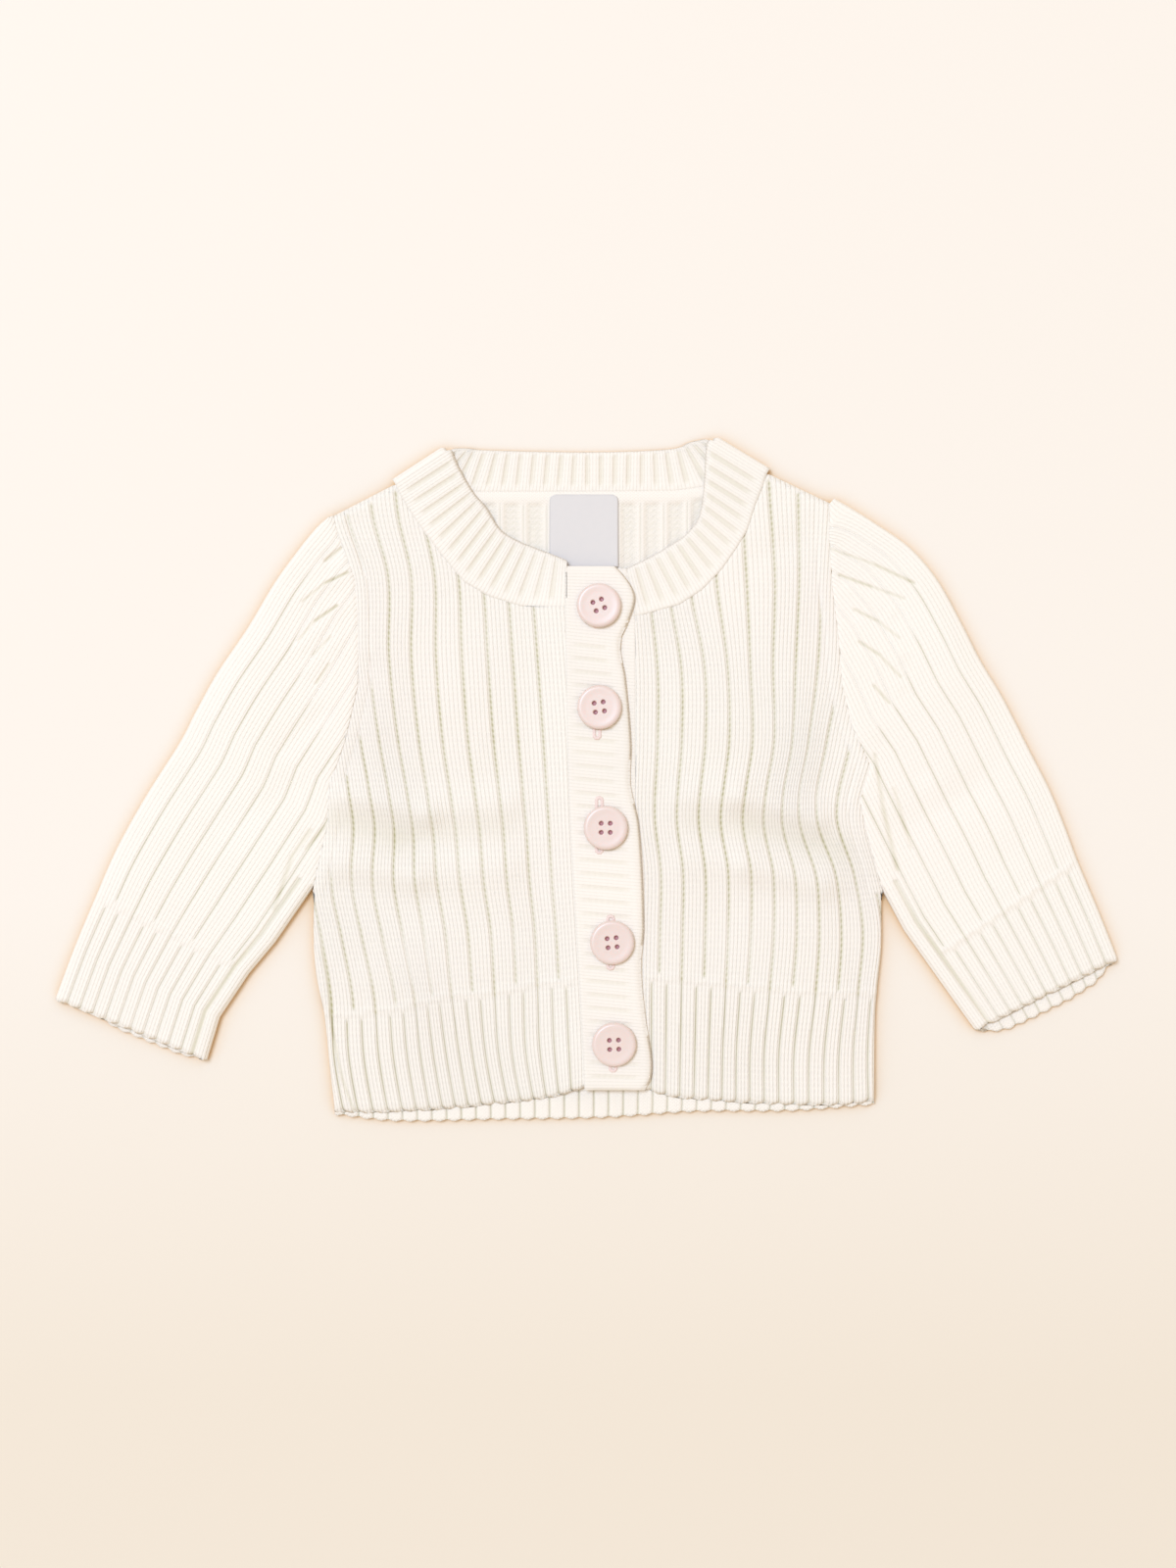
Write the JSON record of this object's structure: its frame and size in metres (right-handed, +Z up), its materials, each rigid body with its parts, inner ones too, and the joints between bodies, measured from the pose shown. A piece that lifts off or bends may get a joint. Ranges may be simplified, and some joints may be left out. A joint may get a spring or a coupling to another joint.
{
  "type": "baby cardigan, laid flat",
  "caption": "Buttoned baby cardigan in cream ribbed knit with pink four-hole buttons, laid flat on its back.",
  "frame": {"origin": "on the surface that the cardigan lies on, below the middle of its bounding box", "axes": "+X to the viewer's right across the garment, +Y from the hem to the neck, +Z up out of the front"},
  "size_m": [0.4348, 0.2814, 0.0111],
  "materials": {
    "knit": "matte",
    "button": "satin",
    "label": "satin"
  },
  "bodies": {
    "root": {"back": "knit", "front_left": "knit", "front_right": "knit", "sleeve_left": "knit", "sleeve_right": "knit", "neckband": "knit", "button_band": "knit", "buttonhole_band": "knit", "neck_label": "label", "button_1": "button", "button_2": "button", "button_3": "button", "button_4": "button", "button_5": "button"}
  },
  "joints": []
}
